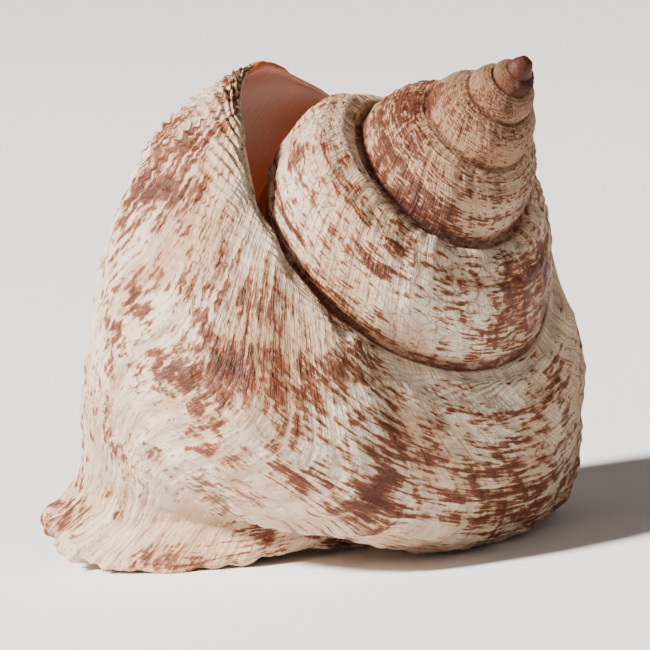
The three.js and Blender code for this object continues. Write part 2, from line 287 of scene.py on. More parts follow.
def surface(angle, row):
    """Points of the plain outer surface for an array of growth angles in one row."""
    angle = np.asarray(angle, float)
    up_to = min(row, 10)
    flat = along_section(section(angle), up_to)
    lip_angle, lip_radius, lip_depth = keyed(LIP_KEYS, up_to)[0]
    share = smooth_step((angle - lip_angle + LIP_BLEND) / LIP_BLEND)[:, None]
    plain = along_section(section(np.array([lip_angle])), up_to)[0]
    flat = flat + (np.array([lip_radius, lip_depth]) - plain) * share
    rib = smooth_step(1 - np.abs(angle - RIB_ANGLE) / RIB_WIDTH)
    rib = rib * smooth_step(1 - abs(row - RIB_ROW) / RIB_LENGTH)
    flat = flat + np.array(RIB_PUSH) * rib[:, None]
    points = place(angle, flat[:, 0], flat[:, 1])
    if row > 10:
        points = points + (last_station(angle) - points) * (row - 10)
    return points


def unit(vectors):
    return vectors / np.maximum(np.linalg.norm(vectors, axis=-1, keepdims=True), 1e-9)


def outward_normal(angle, row):
    along = surface(angle + 0.5, row) - surface(angle - 0.5, row)
    across = surface(angle, min(row + 0.04, 10.98)) - surface(angle, max(row - 0.04, 0))
    return unit(np.cross(along, across))


def wall_point(angle, row):
    near_edge = smooth_step((angle - lip_angle_at(row)) / LIP_BLEND + 1)[:, None]
    thin = (WALL + (LIP_WALL - WALL) * near_edge) * min(1, (LAST_ROW - row) / 1.5)
    return surface(angle, row) - outward_normal(angle, row) * thin


def hollow(angle, row):
    """Inner surface of the outer wall."""
    if row < 1:
        start = surface(angle - 360, WALL_START)
        return start + (wall_point(angle, row) - start) * smooth_step(row)
    if row <= COLUMN_SIDE:
        return wall_point(angle, row)
    near_lip = smooth_step((angle - 90) / 60)[:, None]
    share = (row - COLUMN_SIDE) / (LAST_ROW - COLUMN_SIDE)
    end = last_station(angle - 360)
    side = wall_point(angle, COLUMN_SIDE)
    middle = (side + end) / 2
    middle[:, 2] = end[:, 2]
    inner = side * (1 - share) ** 2 + middle * 2 * share * (1 - share) + end * share**2
    return inner + (wall_point(angle, row) - inner) * near_lip


# ---- Seeded noise ----
NOISE_TABLE = np.random.default_rng(7).permutation(256)
NOISE_TABLE = np.concatenate([NOISE_TABLE, NOISE_TABLE, NOISE_TABLE])
NOISE_SLOPES = unit(np.random.default_rng(11).normal(size=(256, 3)))
NOISE_GAIN = 1.6


def noise(points):
    """Smooth noise between about -1 and 1 for an (n, 3) array."""
    cell = np.floor(points).astype(int)
    offset = points - cell
    fade = offset**3 * (offset * (offset * 6 - 15) + 10)
    total = np.zeros(len(points))
    for dx in (0, 1):
        for dy in (0, 1):
            for dz in (0, 1):
                corner = (cell + (dx, dy, dz)) % 256
                index = NOISE_TABLE[corner[:, 0]]
                index = NOISE_TABLE[index + corner[:, 1]]
                index = NOISE_TABLE[index + corner[:, 2]]
                slope = NOISE_SLOPES[index]
                weight = np.prod(np.where((dx, dy, dz), fade, 1 - fade), axis=1)
                total += weight * np.sum(slope * (offset - (dx, dy, dz)), axis=1)
    return total * NOISE_GAIN


# ---- Shell coordinates ----
# across: distance over the whorl from its seam, in drawing units at whorl size 1
ACROSS = [0, 18, 45, 90, 140, 180, 232, 300, 375, 432, 500, 520]
# row and growth angle of the ridge where growth paused
GROWTH_STOP = [(1, 2), (2, -6), (3, -20), (4, -29), (5, -27), (6, -20), (7, -12), (8, -6)]
OUTSIDE, INNER_WHORL, HOLLOW_WALL, LIP_EDGE = range(4)
FIRST_TURN = BODY_START - 360 * len(SPIRE_TURNS)
TIP_CROWN = 0.42          # how far the cap on the tip bulges
ATTACHED_TO = LIP[0][1] - 360    # growth angle where the free lip meets the whorl inside
OPEN_FACETS = round((BODY_START - ATTACHED_TO) / SEAM_STEP)


def across_of(row):
    return np.interp(row, range(12), ACROSS)


def lip_angles(rows):
    return keyed(LIP_KEYS, np.minimum(rows, 10))[:, 0]


class ShellMesh:
    """Lines of points along the growth, and the faces between them."""

    def __init__(self):
        self.points = []
        self.angles = []
        self.rows = []
        self.kinds = []
        self.faces = []
        self.count = 0

    def line(self, kind, row, start, stop, facets, point_at):
        angles = start + (stop - start) * np.arange(facets + 1) / facets
        return self.add(kind, row, angles, point_at(angles, row))

    def add(self, kind, row, angles, points):
        first = self.count
        self.points.append(points)
        self.angles.append(np.asarray(angles, float))
        self.rows.append(np.full(len(points), float(row)))
        self.kinds.append(np.full(len(points), kind))
        self.count += len(points)
        return np.arange(first, self.count)

    def bridge(self, first, second):
        """Faces between two lines; from outside, the second is on the left of the first."""
        if len(first) == len(second):
            quads = np.stack([first[:-1], first[1:], second[1:], second[:-1]], axis=1)
            self.faces.extend(quads.tolist())
            return
        i = j = 0
        last_i, last_j = len(first) - 1, len(second) - 1
        while i < last_i or j < last_j:
            next_i = (i + 1) / max(last_i, 1)
            next_j = (j + 1) / max(last_j, 1)
            if j == last_j or (i < last_i and next_i <= next_j):
                self.faces.append([first[i], first[i + 1], second[j]])
                i += 1
            else:
                self.faces.append([first[i], second[j + 1], second[j]])
                j += 1

    def bridge_all(self, lines):
        for first, second in zip(lines, lines[1:]):
            self.bridge(first, second)


def seam_below(angles, _row):
    """The last line of a spire turn, on the seam of the turn after it."""
    flat = seam(angles + 360)
    return place(angles + 360, flat[:, 0], flat[:, 1])


def add_spire(shell):
    for turn, facets in enumerate(SPIRE_TURNS):
        stop = BODY_START - 360 * turn
        below = round(360 / SEAM_STEP) if turn == 0 else SPIRE_TURNS[turn - 1]
        lines = [
            shell.line(OUTSIDE, row, stop - 360, stop, facets, surface)
            for row in ROWS[:SPIRE_ROWS]
        ]
        lines.append(shell.line(OUTSIDE, SPIRE_EDGE, stop - 360, stop, below, seam_below))
        shell.bridge_all(lines)


def add_tip(shell):
    """Rounded cap that closes the first turn."""
    edge_angles = FIRST_TURN + 360 * np.arange(SPIRE_TURNS[-1] + 1) / SPIRE_TURNS[-1]
    start_points = [surface(np.array([FIRST_TURN]), row)[0] for row in ROWS[:SPIRE_ROWS][::-1]]
    cap_points = np.concatenate([surface(edge_angles, 0), start_points])
    tip_point = np.array([0.0, 0.0, -TIP_DEPTH])
    lines = []
    for share in (0, 0.25, 0.5, 0.75):
        ring = cap_points + (tip_point - cap_points) * share
        ring[:, 2] += math.sin(math.pi * share) * TIP_CROWN * (tip_point[2] - cap_points[:, 2])
        lines.append(shell.add(OUTSIDE, 0, np.full(len(ring), FIRST_TURN), ring))
    lines.append(shell.add(OUTSIDE, 0, [FIRST_TURN], tip_point[None]))
    shell.bridge_all(lines[::-1])


def add_last_whorl(shell):
    """Outside of the last whorl, its columns closer together near the lip."""
    lines = []
    for row in ROWS:
        facets = round((LIP[0][1] - BODY_START) / SEAM_STEP) if row == 0 else BODY_COLUMNS
        share = np.arange(facets + 1) / facets
        share += CROWDING * smooth_step(row / 1.5) * share * (1 - share)
        line_angles = BODY_START + (lip_angle_at(row) - BODY_START) * share
        lines.append(shell.add(OUTSIDE, row, line_angles, surface(line_angles, row)))
    shell.bridge_all(lines)
    return lines


def add_inner_whorl(shell):
    """The whorl seen inside the hollow; returns the lines of its deeper part."""
    deep_lines = [
        shell.line(INNER_WHORL, row, HOLLOW_START - 360, ATTACHED_TO, HOLLOW_FACETS, surface)
        for row in ROWS[FIRST_HOLLOW_ROW:]
    ]
    shell.bridge_all(deep_lines)
    open_lines = [
        shell.line(INNER_WHORL, row, ATTACHED_TO, BODY_START, OPEN_FACETS, surface)
        for row in ROWS[FIRST_COLUMN_ROW:]
    ]
    shell.bridge_all(open_lines)
    return deep_lines


def add_hollow(shell, deep_lines):
    """Inside of the outer wall, and the end of the hollow."""
    lines = [
        shell.line(HOLLOW_WALL, row, HOLLOW_START, lip_angle_at(row), HOLLOW_FACETS, hollow)
        for row in ROWS[:-1]
    ]
    share = np.arange(HOLLOW_FACETS + 1) / HOLLOW_FACETS
    foot_angles = HOLLOW_START + (LIP[0][1] - HOLLOW_START) * share
    share = np.arange(1, OPEN_FACETS + 1) / OPEN_FACETS
    open_angles = ATTACHED_TO + (BODY_START - ATTACHED_TO) * share
    foot_points = np.concatenate([
        surface(foot_angles - 360, LAST_ROW),
        surface(open_angles, LAST_ROW),
    ])
    foot_line = shell.add(HOLLOW_WALL, LAST_ROW, np.zeros(len(foot_points)), foot_points)
    lines.append(foot_line)
    shell.bridge_all(lines[::-1])
    shell.bridge(
        np.array([line[0] for line in deep_lines]), np.array([line[0] for line in lines])
    )
    return lines


def add_lip_edge(shell, body_lines, hollow_lines):
    """Rounded edge between the outside and the inside of the lip."""
    points = np.concatenate(shell.points)
    outside_edge = np.array([line[-1] for line in body_lines])
    inside_edge = np.array([line[-1] for line in hollow_lines])
    behind = np.array([surface(np.array([lip_angle_at(row) - 2]), row)[0] for row in ROWS])
    onward = unit(points[outside_edge] - behind)
    lines = [inside_edge]
    for turn in (45, 90, 135):
        side = 0.5 - 0.5 * math.cos(math.radians(turn))
        bulge = math.sin(math.radians(turn)) * RIM_BULGE
        middle = points[inside_edge] * (1 - side) + points[outside_edge] * side + onward * bulge
        middle[0] = points[outside_edge[0]]
        middle[-1] = points[outside_edge[-1]]
        lines.append(shell.add(LIP_EDGE, 0, lip_angles(ROWS), middle))
        shell.rows[-1] = ROWS.astype(float)
    lines.append(outside_edge)
    shell.bridge_all(lines)


def build_shell():
    shell = ShellMesh()
    add_spire(shell)
    add_tip(shell)
    body_lines = add_last_whorl(shell)
    deep_lines = add_inner_whorl(shell)
    hollow_lines = add_hollow(shell, deep_lines)
    add_lip_edge(shell, body_lines, hollow_lines)
    return shell


def welded(shell):
    """Joined points, faces by joined point, and faces by the separate corner records."""
    points = np.concatenate(shell.points)
    keys = np.round(points, 3)
    _, first, joined = np.unique(keys, axis=0, return_index=True, return_inverse=True)
    joined = joined.ravel()
    faces, corners = [], []
    for face in shell.faces:
        ids = joined[face]
        keep = [k for k in range(len(ids)) if ids[k] != ids[k - 1]]
        if len(keep) >= 3:
            faces.append([int(ids[k]) for k in keep])
            corners.append([int(face[k]) for k in keep])
    return points[first], joined, faces, corners


shell = build_shell()
plain_points, joined, faces, corners = welded(shell)
angles = np.concatenate(shell.angles)
rows = np.concatenate(shell.rows)
kinds = np.concatenate(shell.kinds)


# ---- Relief: heights in drawing units, at whorl size 1 ----
CORD_SPACING = 23
CORD_HEIGHT = 1.7
CORD_FADE = 0.8           # how much lower the cords are near the lip
SPIRE_CORD_SPACING = 24
SPIRE_CORD_HEIGHT = 2.6
BEADS_PER_TURN = 30       # beads along the cords of the spire
RIDGE_HEIGHT = 2.0        # ridges along the growth lines
LIP_RIDGE_RISE = 4.2      # how much higher they are near the lip
FOLD_HEIGHT = 3
SWELL = ((2.4, 60), (1.1, 22))    # height and breadth of the uneven swellings
KNOBS_PER_TURN = 12       # knobs along the shoulder
KNOB_HEIGHT = 4
TUBERCLE_HEIGHT = 8       # knob where the growth stop meets the shoulder
SKIRT_WAVE = 4            # waver of the skirt's rim
SPIRE_BULGE = 10          # roundness of the spire whorls
SEAM_GROOVE = 11          # depth of the groove along the seams of the spire
SEAM_WIDTH = 0.3          # its half width in rows
# degrees from the growth stop, half width in degrees, height
STOP_RIDGES = [(0, 3.2, 5.5), (-7, 3.5, -3.5), (9, 2.2, 2.6), (5, 1.6, -1.5)]
STOP_KEYS = [(row, (angle,)) for row, angle in GROWTH_STOP]


def growth_line(angle, row):
    """Growth angle of each point, counted along the growth lines that the lip once made."""
    stop = keyed(STOP_KEYS, row)[:, 0] + 12
    lip = lip_angles(row) - 150
    early = smooth_step((angle + 200) / 150)
    late = 0.5 * smooth_step((angle - 60) / 110)
    lag = stop * 0.5 * (1 - early) + stop * early
    return angle - (lag * (1 - late) + lip * late)


def bell(value, centre, width):
    return np.exp(-((value - centre) / width) ** 2)


def growth_noise(growth, across, per_degree, per_unit, layer):
    """Noise drawn out along the growth lines; each layer number is another pattern."""
    layers = np.full(len(growth), float(layer))
    return noise(np.stack([growth * per_degree, across * per_unit, layers], axis=1))


def cord_relief(growth, across, angle, spire):
    waver = 3 * growth_noise(growth, across, 0.02, 0.02, 0)
    spacing = np.where(spire, SPIRE_CORD_SPACING, CORD_SPACING)
    cords = np.cos(2 * np.pi * (across + waver) / spacing)
    patches = 0.55 + 0.45 * growth_noise(growth, across, 0.05, 0.03, 9)
    beads = 1 + 0.5 * np.cos(np.radians(growth * BEADS_PER_TURN)) * spire
    body_height = CORD_HEIGHT - CORD_FADE * smooth_step((angle - 30) / 60)
    return np.where(spire, SPIRE_CORD_HEIGHT, body_height) * cords * patches * beads


def growth_relief(growth, across, angle):
    """Ridges and folds along the growth lines."""
    ridges = growth_noise(growth, across, 0.16, 0.004, 3)
    ridges += growth_noise(growth, across, 0.33, 0.006, 5)
    ridges += 0.3 * growth_noise(growth, across, 0.62, 0.01, 6) * (angle > 0)
    near_lip = smooth_step((angle + 5) / 60)
    folds = growth_noise(growth, across, 0.07, 0.006, 7)
    return ridges * (RIDGE_HEIGHT + LIP_RIDGE_RISE * near_lip) + folds * FOLD_HEIGHT


def stop_relief(angle, row):
    """Ridges and furrows where growth paused, with the tubercle at their upper end."""
    stop = keyed(STOP_KEYS, row)[:, 0]
    reach = smooth_step(row - 1) * smooth_step((8.6 - row) / 1.2)
    ridges = sum(high * bell(angle, stop + offset, width) for offset, width, high in STOP_RIDGES)
    return reach * ridges + TUBERCLE_HEIGHT * bell(angle, -5, 3) * bell(row, 1.62, 0.22)


def seam_groove(angle, row, size, spire):
    at_seam = bell(row, 0, SEAM_WIDTH) + np.where(spire, bell(row, SPIRE_EDGE, SEAM_WIDTH), 0)
    above_last_whorl = 1 - smooth_step((angle - BODY_START) / 60)
    below_tip = smooth_step((angle + 1990) / 200)
    return SEAM_GROOVE * at_seam * np.maximum(size, 0.25) * above_last_whorl * below_tip


def kept_above_inner_face(height, angle, row, spire):
    """Makes furrows shallower where the wall is thin."""
    deepest = np.where(spire, 20, 4 - 1.8 * smooth_step((angle - lip_angles(row) + 60) / 50))
    shallower = -deepest * (1 - np.exp(np.minimum(height, 0) / deepest))
    return np.where(height < 0, shallower, height)


def relief(points, angle, row, kind):
    """Height in drawing units of the raised detail over the plain surface."""
    size = whorl_size(angle)
    across = across_of(row)
    growth = growth_line(angle, row)
    spire = angle < BODY_START

    height = cord_relief(growth, across, angle, spire)
    height += growth_relief(growth, across, angle)
    height += stop_relief(angle, row)
    for swell, breadth in SWELL:
        height += swell * noise(points / breadth)
    knobs = np.maximum(0, np.cos(np.radians(growth * KNOBS_PER_TURN))) ** 2
    height += KNOB_HEIGHT * knobs * bell(row, 2.1, 0.6) * smooth_step((angle + 60) / 40)
    height += SKIRT_WAVE * growth_noise(growth, across, 0.11, 0, 13) * bell(row, 9.05, 0.5)
    height += np.where(spire, SPIRE_BULGE * bell(row, 2.4, 1.1), 0)

    free_of_seams = smooth_step(row / 0.5)
    free_of_seams *= np.where(spire, smooth_step((SPIRE_EDGE - row) / 0.4), 1)
    height *= free_of_seams * np.maximum(size, 0.12) ** 0.8
    height *= 0.35 + 0.65 * smooth_step((lip_angles(row) - angle) / 12)
    height -= seam_groove(angle, row, size, spire)
    height = kept_above_inner_face(height, angle, row, spire)

    smooth_inside = 0.8 * noise(points / 70) * smooth_step((LAST_ROW - row) / 1.5)
    on_wall = (kind == INNER_WHORL) | (kind == HOLLOW_WALL)
    return height * (kind == OUTSIDE) + smooth_inside * on_wall


# a joined point takes its relief from the outermost of the surfaces that meet there
first_record = np.zeros(len(plain_points), int)
order = np.argsort(-kinds, kind="stable")
first_record[joined[order]] = order
height = relief(plain_points, angles[first_record], rows[first_record], kinds[first_record])


def vertex_normals(points, faces):
    normals = np.zeros_like(points)
    for size in (3, 4):
        group = np.array([face for face in faces if len(face) == size])
        if len(group) == 0:
            continue
        corner = points[group]
        normal = np.cross(corner[:, 2] - corner[:, 0], corner[:, size - 1] - corner[:, 1])
        if size == 3:
            normal = np.cross(corner[:, 1] - corner[:, 0], corner[:, 2] - corner[:, 0])
        for k in range(size):
            np.add.at(normals, group[:, k], normal)
    return unit(normals)


normals = vertex_normals(plain_points, faces)

# ---- Laid down on its resting side, in the place of the CAD body ----
rest_turn = (
    Matrix.Rotation(math.radians(REST_HEADING), 3, "Z")
    @ Matrix.Rotation(math.radians(REST_TIP), 3, "X")
    @ Matrix.Rotation(math.radians(REST_TURN), 3, "Z")
)
REST = np.array(rest_turn)
laid = plain_points @ REST.T * UNIT
low, high = laid.min(axis=0), laid.max(axis=0)
shift = (cad_low + cad_high - low - high) / 2
shift[2] = cad_low[2] - low[2]
laid += shift
laid += (normals @ REST.T) * height[:, None] * UNIT
laid[:, 2] = np.maximum(laid[:, 2], cad_low[2])

# ---- How much of each place is stained brown, with painted shade along the spire seams ----
# growth angle, row, half length in degrees, half width in rows, strength
STAINS = [
    (43, 4.6, 7, 0.35, 0.5),
    (57, 3.1, 5, 0.5, 0.35),
    (71, 2.9, 5, 0.4, 0.4),
    (67, 3.6, 6, 0.4, 0.3),
    (9, 3.5, 8, 0.5, 0.35),
    (18, 3.9, 7, 0.3, 0.4),
    (23, 4.8, 6, 0.5, 0.35),
    (45, 5.8, 5, 0.5, 0.3),
    (-9, 4.9, 6, 0.4, 0.5),
    (-21, 3.2, 4, 0.9, 0.5),
    (-24, 4.4, 5, 0.7, 0.4),
    (90, 1.5, 9, 0.6, 0.3),
    (-84, 1.6, 6, 0.5, 0.4),
    (-105, 1.0, 6, 0.4, 0.4),
    (-352, 2.46, 3, 0.12, 0.8),
    (-357, 2.57, 3, 0.12, 0.8),
    (-361, 2.46, 3, 0.12, 0.8),
    (-411, 2.4, 11, 0.7, 0.3),
    (-656, 1.2, 12, 0.8, 0.3),
    (-725, 3.6, 30, 0.35, 0.25),
    (0, 8.7, 25, 0.4, 0.35),
]
# row, first and last growth angle, half width in rows, strength
STAIN_LINES = [
    (3.2, -100, -22, 0.10, 0.35),
    (3.78, -100, -22, 0.10, 0.35),
    (2.0, -100, -40, 0.10, 0.3),
    (2.6, -100, -22, 0.08, 0.25),
    (4.4, -100, -22, 0.12, 0.3),
    (3.3, -340, -285, 0.06, 0.55),
    (2.62, -350, -290, 0.09, 0.55),
    (1.9, -470, -300, 0.07, 0.3),
    (1.3, -860, -560, 0.12, 0.4),
    (2.2, -860, -560, 0.12, 0.4),
    (3.1, -860, -560, 0.12, 0.4),
]


# growth angle below which a turn begins, and its share of stain
SPIRE_STAIN = [(BODY_START, 0.40), (BODY_START - 360, 0.52), (BODY_START - 720, 0.55)]
LINE_FADE = 8             # degrees over which a stain line fades out


def between(angle, start, stop, fade_in, fade_out):
    return smooth_step((angle - start) / fade_in) * smooth_step((stop - angle) / fade_out)


def stain_and_seam_shade_share(angle, row, kind):
    share = 0.40 - 0.14 * smooth_step((-10 - angle) / 25)
    for below, amount in SPIRE_STAIN:
        share = np.where(angle < below, amount, share)

    # the turn before the last: a pale shoulder, browner round the far side
    penultimate = (angle < BODY_START) & (angle >= BODY_START - 360)
    share -= 0.22 * penultimate * smooth_step((1.7 - row) / 0.8)
    share += 0.14 * penultimate * smooth_step((-375 - angle) / 30)
    # the last whorl: a pale crest, shoulder and lower wing, browner below its middle
    share -= 0.22 * bell(row, 2.1, 0.5) * between(angle, -10, 72, 20, 20)
    share -= 0.2 * bell(row, 0.6, 0.9) * between(angle, -95, 10, 30, 20)
    share += 0.1 * smooth_step((row - 4.4) / 0.8) * smooth_step((-25 - angle) / 20)
    share -= 0.1 * smooth_step((row - 5.2) / 0.8) * smooth_step((angle + 10) / 20)
    # painted shade: more stain along both edges of the spire whorls, where the seams lie in
    # shadow
    seam_shade_share = bell(row, 0, 0.15) + bell(row, SPIRE_EDGE, 0.2)
    share += 0.25 * seam_shade_share * (angle < BODY_START)

    for place_angle, place_row, length, width, strength in STAINS:
        share += strength * bell(angle, place_angle, length) * bell(row, place_row, width)
    for line_row, start, stop, width, strength in STAIN_LINES:
        along = between(angle, start, stop, LINE_FADE, LINE_FADE)
        share += strength * along * bell(row, line_row, width)
    return np.where(kind == OUTSIDE, share, 0)


# ---- Object ----
mesh = bpy.data.meshes.new("sea_snail_shell")
mesh.from_pydata(laid.tolist(), [], faces)
mesh.polygons.foreach_set("use_smooth", np.ones(len(faces), bool))
corner_record = np.concatenate([np.array(corner) for corner in corners])
corner_angle = angles[corner_record]
corner_row = rows[corner_record]
corner_kind = kinds[corner_record]
uv = np.stack([growth_line(corner_angle, corner_row) / 10, across_of(corner_row) / 10], axis=1)
mesh.uv_layers.new(name="Growth").data.foreach_set("uv", uv.ravel())


def corner_value(name, values):
    layer = mesh.attributes.new(name, "FLOAT", "CORNER")
    layer.data.foreach_set("value", np.asarray(values, np.float32))


corner_outside = corner_kind == OUTSIDE
corner_from_lip = lip_angles(corner_row) - corner_angle
inside = np.choose(corner_kind, [0, 0.75, 1, 0.6])    # in the order of the kinds
depth_in = smooth_step(corner_from_lip / 70) * (corner_kind == HOLLOW_WALL)
# painted shade: a dark line along the seams between the whorls, where the grooves lie in shadow
suture = bell(corner_row, SPIRE_EDGE, 0.16) * (corner_angle < BODY_START)
suture += bell(corner_row, 0, 0.16) * (corner_angle < BODY_START + 330)
corner_value("stain", stain_and_seam_shade_share(corner_angle, corner_row, corner_kind))
corner_value("inside", inside)
corner_value("depth_in", depth_in)
corner_value("suture", suture * corner_outside)
corner_value("turns", corner_angle / 360)
# painted shade: how low the relief lies, used to darken its hollows
corner_value("low", -height[joined[corner_record]])
corner_value("rim", bell(corner_from_lip, 0, 2.5) * corner_outside)
mesh.update()
shell_piece = bpy.data.objects.new("sea_snail_shell", mesh)
bpy.context.scene.collection.objects.link(shell_piece)
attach(shell_piece, "root")
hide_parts("shell")


# ---- Material ----
class Nodes:
    """Short names for the nodes of one material."""

    def __init__(self, material):
        material.use_nodes = True
        self.tree = material.node_tree
        self.shader = self.tree.nodes["Principled BSDF"]

    def put(self, socket, value):
        if isinstance(value, bpy.types.NodeSocket):
            self.tree.links.new(value, socket)
        else:
            socket.default_value = value

    def new(self, kind, **settings):
        node = self.tree.nodes.new(kind)
        for name, value in settings.items():
            setattr(node, name, value)
        return node

    def math(self, operation, first, second):
        node = self.new("ShaderNodeMath", operation=operation)
        self.put(node.inputs[0], first)
        self.put(node.inputs[1], second)
        return node.outputs[0]

    def add(self, *values):
        total = values[0]
        for value in values[1:]:
            total = self.math("ADD", total, value)
        return total

    def times(self, *values):
        total = values[0]
        for value in values[1:]:
            total = self.math("MULTIPLY", total, value)
        return total

    def weighted(self, *pairs):
        """Sum of values, each times its weight."""
        return self.add(*[self.times(value, weight) for value, weight in pairs])

    def ramp(self, value, low, high, start=0.0, stop=1.0):
        node = self.new("ShaderNodeMapRange", interpolation_type="SMOOTHSTEP", clamp=True)
        for socket, setting in zip(node.inputs, (value, low, high, start, stop)):
            self.put(socket, setting)
        return node.outputs[0]

    def attribute(self, name):
        return self.new("ShaderNodeAttribute", attribute_name=name).outputs["Fac"]

    def vector(self, x, y, z=0.0):
        node = self.new("ShaderNodeCombineXYZ")
        for socket, value in zip(node.inputs, (x, y, z)):
            self.put(socket, value)
        return node.outputs[0]

    def noise(self, vector, scale=1.0, detail=2.0, roughness=0.5):
        node = self.new("ShaderNodeTexNoise")
        self.put(node.inputs["Vector"], vector)
        node.inputs["Scale"].default_value = scale
        node.inputs["Detail"].default_value = detail
        node.inputs["Roughness"].default_value = roughness
        return node.outputs["Fac"]

    def drawn_out(self, growth, across, along_rate, across_rate, layer, detail, roughness):
        """Noise in shell coordinates, finer one way than the other."""
        along = self.times(growth, along_rate)
        over = self.times(across, across_rate)
        return self.noise(self.vector(along, over, layer), 1, detail, roughness)

    def cracks(self, vector, scale):
        node = self.new("ShaderNodeTexVoronoi", feature="DISTANCE_TO_EDGE")
        self.put(node.inputs["Vector"], vector)
        node.inputs["Scale"].default_value = scale
        return node.outputs["Distance"]

    def mix(self, share, first, second):
        node = self.new("ShaderNodeMix", data_type="RGBA")
        self.put(node.inputs["Factor"], share)
        self.put(node.inputs[6], first)
        self.put(node.inputs[7], second)
        return node.outputs[2]

    def tint(self, base, colour, strength, *shares):
        return self.mix(self.times(*shares, strength), base, colour)


# colours as linear red, green and blue
CREAM = (0.54, 0.37, 0.24, 1)
CHALK = (0.70, 0.58, 0.45, 1)
TAN = (0.34, 0.145, 0.06, 1)
RUST = (0.14, 0.032, 0.010, 1)
MAROON = (0.06, 0.014, 0.007, 1)
PEACH = (0.56, 0.13, 0.04, 1)
PALE_PEACH = (0.66, 0.21, 0.08, 1)
DEEP_PEACH = (0.25, 0.04, 0.012, 1)
BUFF = (0.36, 0.20, 0.115, 1)

BUMP_DEPTH = 0.0009       # metres


def shell_patterns(nodes):
    """Coordinates, stored values and patterns that the colour and the bump share."""
    shared = SimpleNamespace()
    shared.place_at = nodes.new("ShaderNodeTexCoord").outputs["Object"]
    split = nodes.new("ShaderNodeSeparateXYZ")
    nodes.put(split.inputs[0], nodes.new("ShaderNodeUVMap", uv_map="Growth").outputs[0])
    growth, across = split.outputs[0], split.outputs[1]
    for name in ("stain", "inside", "depth_in", "suture", "turns", "low", "rim"):
        setattr(shared, name, nodes.attribute(name))

    waver = nodes.times(nodes.drawn_out(growth, across, 0.25, 0.3, 0.0, 3, 0.5), 0.9)
    wavy_across = nodes.add(across, waver)
    shared.fine_lines = nodes.drawn_out(growth, across, 9, 0.35, 0.0, 3, 0.65)
    shared.lines = nodes.drawn_out(growth, across, 3.2, 0.12, 0.0, 4, 0.6)
    shared.broad_lines = nodes.drawn_out(growth, across, 1.1, 0.08, 4.0, 2, 0.5)
    dashes = nodes.drawn_out(growth, wavy_across, 1.4, 2.4, 2.0, 3, 0.6)
    strokes = nodes.drawn_out(growth, across, 6.0, 0.6, 6.0, 3, 0.6)
    near_lip = nodes.ramp(shared.turns, -0.06, 0.08)
    away_from_lip = nodes.math("SUBTRACT", 1.0, near_lip)
    streaks = nodes.add(nodes.times(dashes, away_from_lip), nodes.times(strokes, near_lip))
    shared.blotches = nodes.noise(shared.place_at, 150, 5, 0.65)
    patches = nodes.noise(shared.place_at, 45, 2)
    shared.specks = nodes.noise(shared.place_at, 900, 2, 0.5)
    shared.net = nodes.cracks(nodes.vector(nodes.times(growth, 1.5), wavy_across), 1.1)

    # level of stain: the weights add up to 3, so taking 1 off brings its average to 0.5
    pattern = nodes.weighted(
        (streaks, 1.05), (shared.blotches, 0.6), (shared.lines, 0.45),
        (shared.specks, 0.2), (patches, 0.7),
    )
    level = nodes.add(pattern, -1.0, nodes.times(nodes.add(shared.stain, -0.5), 0.42))
    shared.light_mark = nodes.ramp(level, 0.42, 0.53)
    shared.dark_mark = nodes.ramp(level, 0.52, 0.59)
    shared.darkest = nodes.ramp(level, 0.61, 0.72)
    return shared


def outside_colour(nodes, shared):
    clouds = nodes.ramp(nodes.noise(shared.place_at, 60, 4), 0.35, 0.65)
    ground = nodes.mix(clouds, CREAM, CHALK)
    ground = nodes.tint(ground, TAN, 0.35, nodes.ramp(shared.fine_lines, 0.5, 0.72))
    # painted shade: tan where the growth-line bump is low, darkening the grooves between the
    # ribs
    ground = nodes.tint(ground, TAN, 0.4, nodes.ramp(shared.lines, 0.50, 0.34))
    # painted shade: tan in the low places of the mesh relief
    ground = nodes.tint(ground, TAN, 0.5, nodes.ramp(shared.low, 0.3, 4.0))
    ground = nodes.tint(ground, BUFF, 0.55, nodes.ramp(shared.turns, -1.3, -1.7))
    ground = nodes.tint(ground, BUFF, 0.8, nodes.ramp(shared.turns, -2.2, -2.8))

    marked = nodes.tint(ground, TAN, 0.75, shared.light_mark)
    marked = nodes.tint(marked, RUST, 0.9, shared.dark_mark)
    marked = nodes.tint(marked, MAROON, 0.8, shared.darkest)

    # brown threads that net the turn before the last
    thread = nodes.ramp(nodes.add(shared.net, nodes.times(shared.lines, 0.16)), 0.14, 0.06)
    before_last_turn = nodes.ramp(shared.turns, -0.5, -0.8)
    below_spire_top = nodes.ramp(shared.turns, -1.8, -1.4)
    stained = nodes.ramp(shared.stain, 0.25, 0.45)
    marked = nodes.tint(marked, RUST, 0.75, thread, stained, before_last_turn, below_spire_top)

    # painted shade: maroon along the seams between the whorls
    marked = nodes.tint(marked, MAROON, 0.75, shared.suture)
    marked = nodes.tint(marked, RUST, 0.85, nodes.ramp(shared.turns, -4.7, -5.1))
    tip = nodes.ramp(shared.turns, -5.0, -5.2)
    return nodes.tint(marked, MAROON, 0.9, tip, nodes.ramp(shared.blotches, 0.2, 0.5))


def lining_colour(nodes, shared):
    clouds = nodes.ramp(nodes.noise(shared.place_at, 70, 3), 0.3, 0.7)
    lining = nodes.mix(clouds, PEACH, PALE_PEACH)
    return nodes.tint(lining, DEEP_PEACH, 0.75, shared.depth_in)


def shell_roughness(nodes, shared):
    """Chalky outside, smoother on the brown marks and the lining."""
    outside = nodes.ramp(shared.inside, 0.5, 0.1)
    speckle = nodes.add(shared.specks, -0.5)
    changes = nodes.weighted((outside, 0.2), (speckle, 0.2), (shared.dark_mark, -0.08))
    return nodes.add(0.38, changes)


